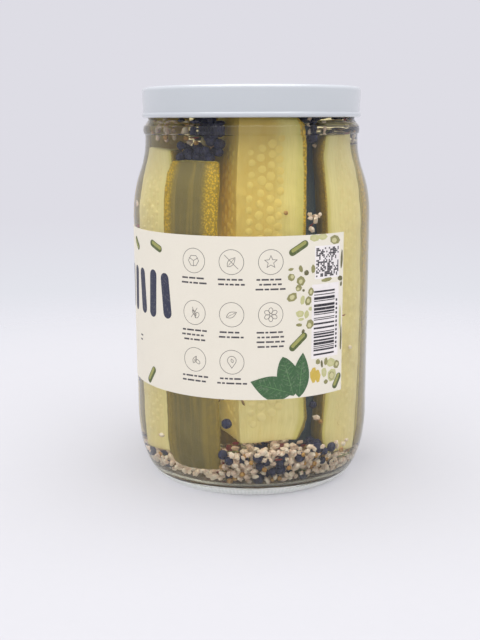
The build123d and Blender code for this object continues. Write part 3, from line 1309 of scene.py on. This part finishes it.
def wedge_of_cucumber(name, radius, wedge, foot, head, sizes):
    """A cucumber's length, rounded at its ends and cut to a wedge that points along X."""
    taper = sizes.taper_length
    middle = (0, 0, (head + foot) / 2)
    straight = head - foot - 2 * taper
    select_only()
    bpy.ops.mesh.primitive_cylinder_add(vertices=96, radius=radius, depth=straight, location=middle)
    obj = settle(named(name))
    for side in (-1, 1):
        edit(obj)
        select_faces(obj, lambda middle, normal: normal.z * side > 0.9)
        for share, shrink in TAPER_STEPS:
            rise = (0, 0, side * taper * share)
            bpy.ops.mesh.extrude_region_move(TRANSFORM_OT_translate={"value": rise})
            bpy.ops.transform.resize(value=(shrink, shrink, 1), center_override=(0, 0, 0))
    half = math.radians(wedge / 2)
    for side in (-1, 1):
        bpy.ops.mesh.select_all(action="SELECT")
        outward = (-math.sin(half), side * math.cos(half), 0)
        bpy.ops.mesh.bisect(plane_co=(0, 0, 0), plane_no=outward, use_fill=True, clear_outer=True)
    leave_edit()
    remesh = obj.modifiers.new("Skin", "REMESH")
    remesh.mode = "VOXEL"
    remesh.voxel_size = sizes.voxel
    smooth = obj.modifiers.new("Round", "SMOOTH")
    smooth.iterations = 2
    return finish_modifiers(obj)


def write_growth(obj, values, tone):
    """Stores in each point where it grew, three numbers a point, and how golden its spear is."""
    grown = obj.data.attributes.new("grown", "FLOAT_VECTOR", "POINT")
    grown.data.foreach_set("vector", values)
    tones = obj.data.attributes.new("tone", "FLOAT", "POINT")
    tones.data.foreach_set("value", [tone] * len(obj.data.vertices))


def mark_grown(obj, radius, foot, head, taper, tone):
    """Works out where each point grew: across the cucumber in shares of its radius, and along it."""
    values = []
    for vertex in obj.data.vertices:
        end = min(vertex.co.z - foot, head - vertex.co.z)
        here = radius * (1 - 0.14 * max(0.0, 1 - end / taper) ** 1.3)
        values += [vertex.co.x / here, vertex.co.y / here, vertex.co.z / radius]
    write_growth(obj, values, tone)


# The columns of seeds on a cut face: distance from the tip edge in shares of the radius, and the
# half width and half height of a seed in millimetres.
SEED_COLUMNS = ((0.19, 1.7, 1.9), (0.33, 2.1, 2.3), (0.47, 2.1, 2.3), (0.60, 1.8, 2.0))
SEED_START = 8 * MM
SEED_END = 6 * MM
SEED_SUNK = 0.28 * MM


def seeds_on(radius, wedge, foot, head, tone, sizes, dice):
    """Soft seeds, mostly sunk into the two cut faces in staggered rows."""
    select_only()
    bpy.ops.mesh.primitive_uv_sphere_add(segments=10, ring_count=5, radius=1)
    seed = named("seed")
    write_growth(seed, [part for vertex in seed.data.vertices for part in vertex.co], tone)
    places = []
    half = math.radians(wedge / 2)
    count = int((head - foot - SEED_START - SEED_END) / sizes.seed_pitch)
    for side in (-1, 1):
        out = Vector((math.cos(half), side * math.sin(half), 0))
        normal = Vector((-math.sin(half), side * math.cos(half), 0))
        for column, (reach, wide, tall) in enumerate(SEED_COLUMNS):
            for k in range(count):
                step = k + column * 0.5 + dice.uniform(-0.12, 0.12)
                height = foot + SEED_START + step * sizes.seed_pitch
                spot = out * radius * (reach + dice.uniform(-0.02, 0.02)) + Vector((0, 0, height))
                spot -= normal * SEED_SUNK
                axes = Matrix((out, (0, 0, -side), normal)).transposed().to_4x4()
                swing = Matrix.Rotation(dice.uniform(-0.5, 0.5), 4, "Z")
                grow = dice.uniform(0.85, 1.1) * (0.6 + 0.4 * tone) * MM
                size = Matrix.Diagonal((wide * grow, tall * grow, (0.34 + 0.11 * tone) * MM, 1))
                places.append(Matrix.Translation(spot) @ axes @ swing @ size)
    return copies("seeds", [seed], places)


def add_lumps(obj, name, size, height):
    """Adds a modifier that raises and sinks soft random lumps of that size."""
    lumps = obj.modifiers.new(name, "DISPLACE")
    lumps.texture = bpy.data.textures.new(name, "CLOUDS")
    lumps.texture.noise_scale = size
    lumps.texture.noise_depth = 1
    lumps.strength = height
    lumps.mid_level = 0.5


def inner_envelope(sizes, gap):
    """A closed shape a little smaller than the inside of the glass."""
    line = inside_outline(sizes, -gap, sizes.brine_level - gap)
    return lathe("envelope", line + [(0, sizes.brine_level - gap)], 96)


def make_spear(index, spec, sizes, envelope, materials):
    """One spear, from its cucumber wedge to its place against the others in the jar."""
    angle, reach, facing, wedge, radius, foot, head, tone = spec
    radius, foot, head = radius * MM, foot * MM, head * MM
    dice = random.Random(100 + index)
    spear = wedge_of_cucumber(f"spear_{index + 1:02d}", radius, wedge, foot, head, sizes)
    mark_grown(spear, radius, foot, head, sizes.taper_length, tone)
    dress(spear, materials[0])
    seeds = dress(seeds_on(radius, wedge, foot, head, tone, sizes, dice), materials[1])
    spear = join(spear.name, [spear, seeds])
    middle = (head + foot) / 2
    spear.location = (0, 0, -middle)
    settle(spear)
    outward = 1 if abs(facing - angle) < 60 else -1
    bend(spear, "Y", -outward * 8 * sizes.bow / (head - foot))
    spear.location = heading(angle) * reach * MM + Vector((0, 0, middle))
    spear.rotation_euler = (0, 0, math.radians(facing - 90))
    settle(spear)
    add_lumps(spear, "Lumps", 11 * MM, sizes.lump)
    add_lumps(spear, "Warts", 2.2 * MM, sizes.wart)
    inside = spear.modifiers.new("Inside", "SHRINKWRAP")
    inside.target = envelope
    inside.wrap_method = "NEAREST_SURFACEPOINT"
    inside.wrap_mode = "INSIDE"
    finish_modifiers(spear)
    bpy.ops.object.shade_smooth()
    return spear


def casts_shadow(angle, reach):
    """Whether a spear stands behind, or deep in the middle on the right. Light falls past the rest."""
    return abs(angle) > BACK_ANGLE or (angle > 0 and reach < CORE_REACH)


# ---------------------------------------------------------------- loose spices


def clear_of_spears(point, margin):
    """Whether a point in the jar lies outside every spear, by at least the margin."""
    for angle, reach, facing, wedge, radius, foot, head, _ in SPEARS:
        if not foot * MM - margin < point.z < head * MM + margin:
            continue
        tip = heading(angle) * reach * MM
        apart = Vector((point.x - tip.x, point.y - tip.y, 0))
        if apart.length > radius * MM + margin:
            continue
        if apart.length < margin:
            return False
        spread = apart.angle(heading(facing)) - math.radians(wedge / 2)
        if spread < 0 or math.sin(min(spread, math.pi / 2)) * apart.length < margin:
            return False
    return True


def inner_radius_at(sizes, height):
    """The radius of the inside of the glass at a height."""
    line = inside_outline(sizes, 0, sizes.brine_level)
    for (r0, z0), (r1, z1) in zip(line, line[1:]):
        if z0 <= height <= z1 and z1 > z0 and r1 > sizes.inner_floor_radius * 0.98:
            return r0 + (r1 - r0) * (height - z0) / (z1 - z0)
    return sizes.inner_floor_radius


def floor_at(sizes, radius):
    """The height of the jar's floor at a radius, inside."""
    if radius < sizes.inner_floor_radius:
        share = radius / sizes.inner_floor_radius
        return sizes.floor_top - (sizes.floor_top - sizes.floor_low) * share ** 2
    share = min(1.0, (radius - sizes.inner_floor_radius) / (sizes.inner_radius - sizes.inner_floor_radius))
    return sizes.floor_low + sizes.inner_heel_height * (1 - math.sqrt(max(0.0, 1 - share ** 2)))


# How near the middle of a loose bit may come, in shares of its size, to the glass, the floor and a
# spear, and to the middle of another bit, in shares of both sizes together.
WALL_GAP = 0.75
FLOOR_GAP = 0.55
SPEAR_GAP = 0.45
BIT_GAP = 0.36
TRIES_PER_BIT = 400


def scatter(sizes, dice, count, size, low, high, wall_share, taken, clusters=()):
    """Places for loose bits, between two heights or in clusters, clear of glass, spears and bits."""
    found = []
    tries = 0
    while len(found) < count and tries < count * TRIES_PER_BIT:
        tries += 1
        height = dice.uniform(low, high)
        turn = dice.uniform(0, math.tau)
        if clusters:
            angle, middle = dice.choice(clusters)
            height = dice.gauss(middle * MM, 1.6 * MM)
            turn = math.radians(dice.gauss(angle, 4))
        heap = 0.5 + 0.5 * ((1 + math.cos(turn - 0.4)) / 2) ** 2
        if not clusters and low < sizes.floor_top and height > high * heap:
            continue
        edge = inner_radius_at(sizes, height) - size * WALL_GAP - 0.4 * MM
        at_wall = dice.random() < wall_share
        reach = edge * (1 - abs(dice.gauss(0, 0.10)) if at_wall else math.sqrt(dice.random()))
        point = Vector((reach * math.sin(turn), -reach * math.cos(turn), height))
        if reach < 0 or height < floor_at(sizes, reach) + size * FLOOR_GAP:
            continue
        if not clear_of_spears(point, size * SPEAR_GAP):
            continue
        if any((point - other).length < (size + wide) * BIT_GAP for other, wide in taken):
            continue
        taken.append((point, size))
        found.append(point)
    return found


def posed(point, dice, size, squash):
    """A random turn and a slightly random size at a point."""
    axis = Vector([dice.gauss(0, 1) for _ in range(3)]).normalized()
    turn = Matrix.Rotation(dice.uniform(0, math.tau), 4, axis)
    grow = size * dice.uniform(0.75, 1.15)
    return Matrix.Translation(point) @ turn @ Matrix.Diagonal((*[grow * s for s in squash], 1))


def lumpy_ball(name, corners, roughness, seed, angular=False):
    """A ball of radius 1, with that many corners round its middle, each moved at random."""
    select_only()
    bpy.ops.mesh.primitive_uv_sphere_add(segments=corners, ring_count=corners // 2 + 1, radius=1)
    obj = named(name)
    edit(obj)
    bpy.ops.transform.vertex_random(offset=roughness, uniform=0.4, seed=seed)
    obj = leave_edit()
    if not angular:
        bpy.ops.object.shade_smooth()
    return obj


# Where peppercorns gather: angle from the front in degrees and height in millimetres.
CORN_CLUSTERS = (
    (13, 9), (14, 11), (43, 16), (-48, 127.5), (-38, 127.5), (-30, 127.5), (-24, 128.5), (-26, 136),
    (37, 138), (150, 12), (-120, 14), (-75, 12), (90, 13), (170, 136), (110, 137), (-130, 137),
)
# Where chopped garlic gathers.
GARLIC_CLUSTERS = ((31, 104), (37, 136), (43, 138), (-62, 136), (-5, 8), (2, 9), (24, 13), (140, 137))


def make_loose(sizes, glass):
    """Garlic, peppercorns, mustard and dill seeds and chilli flakes, in the pile and at the top."""
    dice = random.Random(7)
    taken = []
    pile = glass.floor_low, sizes.pile_height
    gaps = sizes.pile_height, glass.brine_level - 18 * MM
    top = glass.brine_level - 20 * MM, glass.brine_level - 2 * MM

    def spread(count, size, shares):
        """Places in the pile, in the gaps between the spears and at the top, by their shares."""
        places = []
        for (low, high), share in zip((pile, gaps, top), shares):
            places += scatter(glass, dice, int(count * share), size, low, high, 0.75, taken)
        return places

    pieces = []

    def kind(name, models, count, size, shares, squash, material, gathered=0, clusters=()):
        """One kind of loose bit, first where it gathers and then spread out."""
        spots = scatter(glass, dice, gathered, size, pile[0], top[1], 0.95, taken, clusters)
        spots += spread(count, size, shares)
        places = [posed(point, dice, size / 2, squash) for point in spots]
        pieces.append(dress(copies(name, models, places), material))

    chunks = [lumpy_ball(f"chunk_{k}", 6, 0.32, k, True) for k in range(6)]
    corns = [lumpy_ball(f"corn_{k}", 10, 0.06, k) for k in range(3)]
    kind(
        "peppercorns", corns, sizes.peppercorn_count // 3, 3.7 * MM, (0.6, 0.2, 0.2), (1, 1, 1),
        spice_material("peppercorn", sizes.peppercorn, screen(36, 44, 92), 900, 0.40, 0.25 * MM),
        sizes.peppercorn_count * 2 // 3, CORN_CLUSTERS,
    )
    kind(
        "garlic_bits", chunks, sizes.garlic_count, 2.7 * MM, (0.92, 0.02, 0.06), (1.0, 0.8, 0.6),
        spice_material("garlic", sizes.garlic, screen(238, 208, 196), 420, 0.35, 0.15 * MM),
        sizes.garlic_count // 12, GARLIC_CLUSTERS,
    )
    kind(
        "mustard_seeds", [lumpy_ball("mustard", 8, 0.03, 1)], sizes.mustard_count, 2.1 * MM,
        (0.76, 0.06, 0.18), (1, 1, 0.92),
        spice_material("mustard_seed", sizes.mustard, screen(170, 118, 62), 1200, 0.35, 0.03 * MM),
    )
    kind(
        "dill_seeds", [lumpy_ball("dill_seed", 8, 0.05, 2)], sizes.dill_seed_count, 3.6 * MM,
        (0.60, 0.08, 0.32), (1.0, 0.42, 0.28),
        spice_material("dill_seed", sizes.dill_seed, screen(176, 150, 98), 1500, 0.5, 0.05 * MM),
    )
    kind(
        "chilli_flakes", [lumpy_ball("flake", 6, 0.25, 3, True)], sizes.chilli_count, 3.2 * MM,
        (0.6, 0.15, 0.25), (1.0, 0.7, 0.14),
        spice_material("chilli", sizes.chilli, screen(110, 36, 40), 800, 0.35, 0.05 * MM),
    )
    pieces.append(make_sprigs(sizes, glass, dice, taken))
    return pieces


def make_sprig(name, dice):
    """One sprig of dill, 1 long: a stalk, which is made first, with fine threads on both sides."""
    select_only()
    parts = []
    for k in range(13):
        side = 0 if k == 0 else (1 if k % 2 else -1)
        long = 1.0 if k == 0 else dice.uniform(0.28, 0.5) * (1 - k / 22)
        thick = 0.022 if k == 0 else 0.013
        middle = (0, 0, long / 2)
        bpy.ops.mesh.primitive_cylinder_add(vertices=5, radius=thick, depth=long, location=middle)
        thread = settle(named("thread"))
        turn = Matrix.Rotation(side * math.radians(dice.uniform(28, 52)), 4, "Y")
        twist = Matrix.Rotation(dice.uniform(-0.6, 0.6), 4, "Z")
        thread.matrix_world = Matrix.Translation((0, 0, 0.07 * k)) @ twist @ turn
        parts.append(thread)
    return join(name, parts)


def make_sprigs(sizes, glass, dice, taken):
    """Sprigs of dill in the pile and just under the top of the brine."""
    models = [make_sprig(f"sprig_{k}", dice) for k in range(3)]
    pile = glass.floor_low + 3 * MM, sizes.pile_height
    top = glass.brine_level - 16 * MM, glass.brine_level - 5 * MM
    points = []
    for low, high in (pile, top):
        points += scatter(glass, dice, sizes.sprig_count // 2, 3 * MM, low, high, 0.8, taken)
    places = []
    for point in points:
        inward = -Vector((point.x, point.y, 0)).normalized()
        along = Vector((-inward.y, inward.x, dice.uniform(-0.35, 0.35))).normalized()
        turn = along.to_track_quat("Z", "Y").to_matrix().to_4x4()
        long = dice.uniform(6, 9) * MM
        middle = point + inward * 0.5 * MM
        start = middle - along * long / 2
        end = middle + along * long / 2
        limit = inner_radius_at(glass, point.z) - 1.2 * MM
        far = max(math.hypot(start.x, start.y), math.hypot(end.x, end.y))
        start += inward * max(0.0, far - limit)
        places.append(Matrix.Translation(start) @ turn @ Matrix.Scale(long, 4))
    piece = copies("dill_sprigs", models, places)
    material = spice_material("dill", sizes.dill, screen(140, 146, 84), 700, 0.45, 0.02 * MM)
    return dress(piece, material)


# ---------------------------------------------------------------- the stage


def make_world(sizes):
    """Even light from all round, with the backdrop's own tones where the camera and glass see it."""
    paint = Paint("studio", "worlds")
    bpy.context.scene.world = paint.made
    direction = paint.node("ShaderNodeTexCoord", output="Generated")
    rising = paint.parts(direction)[2]
    place = paint.node("ShaderNodeMapRange", values={"Value": rising, "From Min": -0.5, "From Max": 0.5})
    stops = [(0.0, sizes.backdrop_low), (0.262, sizes.backdrop_low), (0.332, sizes.backdrop_turn)]
    stops += [(0.404, sizes.backdrop_high), (1.0, sizes.backdrop_high)]
    backdrop = paint.node("ShaderNodeValToRGB", {"stops": stops}, {"Fac": place})
    seen = paint.node("ShaderNodeBackground", values={"Color": backdrop, "Strength": 1.0})
    sky = {"Color": (0.985, 0.99, 1.0, 1), "Strength": sizes.sky_level}
    light = paint.node("ShaderNodeBackground", values=sky)
    rays = paint.node("ShaderNodeLightPath").socket.node.outputs
    looks = [Wire(paint, rays[name]) for name in ("Is Camera Ray", "Is Glossy Ray", "Is Transmission Ray")]
    factor = (looks[0] + looks[1] + looks[2]).math("MINIMUM", 1.0)
    paint.output(paint.node("ShaderNodeMixShader", values={0: factor, 1: light, 2: seen}))


def make_stage(sizes):
    """The floor, the world's light, one soft lamp and the camera."""
    select_only()
    bpy.ops.mesh.primitive_circle_add(vertices=96, radius=sizes.floor_radius, fill_type="NGON")
    floor = named("floor")
    edit(floor, "FACE")
    bpy.ops.mesh.inset(thickness=sizes.floor_radius * 0.5)
    leave_edit()
    dress(floor, floor_material(sizes))
    make_world(sizes)
    select_only()
    above = (0, -sizes.lamp_forward, sizes.lamp_height)
    bpy.ops.object.light_add(type="AREA", location=above)
    lamp = bpy.context.object
    lamp.name = "soft_lamp"
    lamp.data.shape = "SQUARE"
    lamp.data.size = sizes.lamp_size
    lamp.data.energy = sizes.lamp_power
    aim = Vector((0, 0, sizes.lamp_aim)) - lamp.location
    lamp.rotation_euler = aim.to_track_quat("-Z", "Y").to_euler()
    bpy.ops.object.camera_add(location=(0, -sizes.camera_distance, sizes.camera_height))
    camera = bpy.context.object
    camera.name = "front_camera"
    camera.data.lens = sizes.focal_length
    camera.data.sensor_width = 36.0
    look = Matrix.Rotation(sizes.camera_turn, 4, "Z")
    look = look @ Matrix.Rotation(math.pi / 2 - sizes.camera_pitch, 4, "X")
    look = look @ Matrix.Rotation(sizes.camera_roll, 4, "Z")
    camera.matrix_world = Matrix.Translation(camera.location) @ look
    scene = bpy.context.scene
    scene.camera = camera
    scene.view_settings.view_transform = "Standard"


# ---------------------------------------------------------------- operators and panel


class PICKLEJAR_OT_glass(bpy.types.Operator):
    """Make the clear glass jar"""

    bl_idname = "picklejar.glass"
    bl_label = "Glass jar"

    def execute(self, context):
        show(make_glass(context.scene.pickle_jar_glass), "jar_glass", "jar")
        return {"FINISHED"}


class PICKLEJAR_OT_brine(bpy.types.Operator):
    """Make the brine that fills the jar"""

    bl_idname = "picklejar.brine"
    bl_label = "Brine"

    def execute(self, context):
        show(make_brine(context.scene.pickle_jar_glass), "brine", "brine")
        return {"FINISHED"}


class PICKLEJAR_OT_lid(bpy.types.Operator):
    """Make the pressed metal lid"""

    bl_idname = "picklejar.lid"
    bl_label = "Lid"

    def execute(self, context):
        show(make_lid(context.scene.pickle_jar_lid), "lid_metal", "lid")
        return {"FINISHED"}


class PICKLEJAR_OT_label(bpy.types.Operator):
    """Make the paper label and everything printed on it"""

    bl_idname = "picklejar.label"
    bl_label = "Label and print"

    def execute(self, context):
        sizes = context.scene.pickle_jar_label
        show(make_paper(sizes), "label_paper", "label").visible_shadow = False
        prints = [make_icons(sizes), make_rules(sizes), make_patches(sizes), make_codes(sizes)]
        prints += [make_frieze(sizes), *make_leaves(sizes), *make_garnish(sizes)]
        for piece in prints:
            show(piece, "label_paper").visible_shadow = False
        return {"FINISHED"}


class PICKLEJAR_OT_spears(bpy.types.Operator):
    """Make the pickle spears that stand in the brine"""

    bl_idname = "picklejar.spears"
    bl_label = "Pickle spears"

    def execute(self, context):
        sizes = context.scene.pickle_jar_spears
        envelope = inner_envelope(context.scene.pickle_jar_glass, sizes.glass_gap)
        materials = (pickle_material(sizes), seed_material(sizes))
        for index, spec in enumerate(SPEARS):
            spear = show(make_spear(index, spec, sizes, envelope, materials), "brine")
            spear.visible_shadow = casts_shadow(*spec[:2])
        bpy.data.objects.remove(envelope)
        return {"FINISHED"}


class PICKLEJAR_OT_loose(bpy.types.Operator):
    """Make the garlic, spices and dill that lie loose in the brine"""

    bl_idname = "picklejar.loose"
    bl_label = "Garlic and spices"

    def execute(self, context):
        scene = context.scene
        for piece in make_loose(scene.pickle_jar_loose, scene.pickle_jar_glass):
            show(piece, "brine")
        return {"FINISHED"}


class PICKLEJAR_OT_stage(bpy.types.Operator):
    """Make the floor, the light and the camera"""

    bl_idname = "picklejar.stage"
    bl_label = "Stage"

    def execute(self, context):
        make_stage(context.scene.pickle_jar_stage)
        return {"FINISHED"}


OPERATORS = (
    PICKLEJAR_OT_glass,
    PICKLEJAR_OT_brine,
    PICKLEJAR_OT_lid,
    PICKLEJAR_OT_label,
    PICKLEJAR_OT_spears,
    PICKLEJAR_OT_loose,
    PICKLEJAR_OT_stage,
)


class PICKLEJAR_PT_panel(bpy.types.Panel):
    """Lists the jar's pieces in the sidebar"""

    bl_label = "Pickle jar"
    bl_space_type = "VIEW_3D"
    bl_region_type = "UI"
    bl_category = "Pickle jar"

    def draw(self, context):
        for operator in OPERATORS:
            self.layout.operator(operator.bl_idname)
        for name in GROUPS:
            box = self.layout.box()
            group = getattr(context.scene, name)
            for key in group.bl_rna.properties.keys():
                if key not in ("rna_type", "name"):
                    box.prop(group, key)


def register():
    for name, group in GROUPS.items():
        bpy.utils.register_class(group)
        setattr(bpy.types.Scene, name, bpy.props.PointerProperty(type=group))
    for kind in (*OPERATORS, PICKLEJAR_PT_panel):
        bpy.utils.register_class(kind)


def unregister():
    for kind in (PICKLEJAR_PT_panel, *OPERATORS[::-1]):
        bpy.utils.unregister_class(kind)
    for name, group in GROUPS.items():
        delattr(bpy.types.Scene, name)
        bpy.utils.unregister_class(group)


def main():
    """Makes every piece and the stage."""
    register()
    bpy.ops.picklejar.glass()
    bpy.ops.picklejar.brine()
    bpy.ops.picklejar.lid()
    bpy.ops.picklejar.label()
    bpy.ops.picklejar.spears()
    bpy.ops.picklejar.loose()
    bpy.ops.picklejar.stage()
    select_only()


if __name__ == "__main__":
    main()
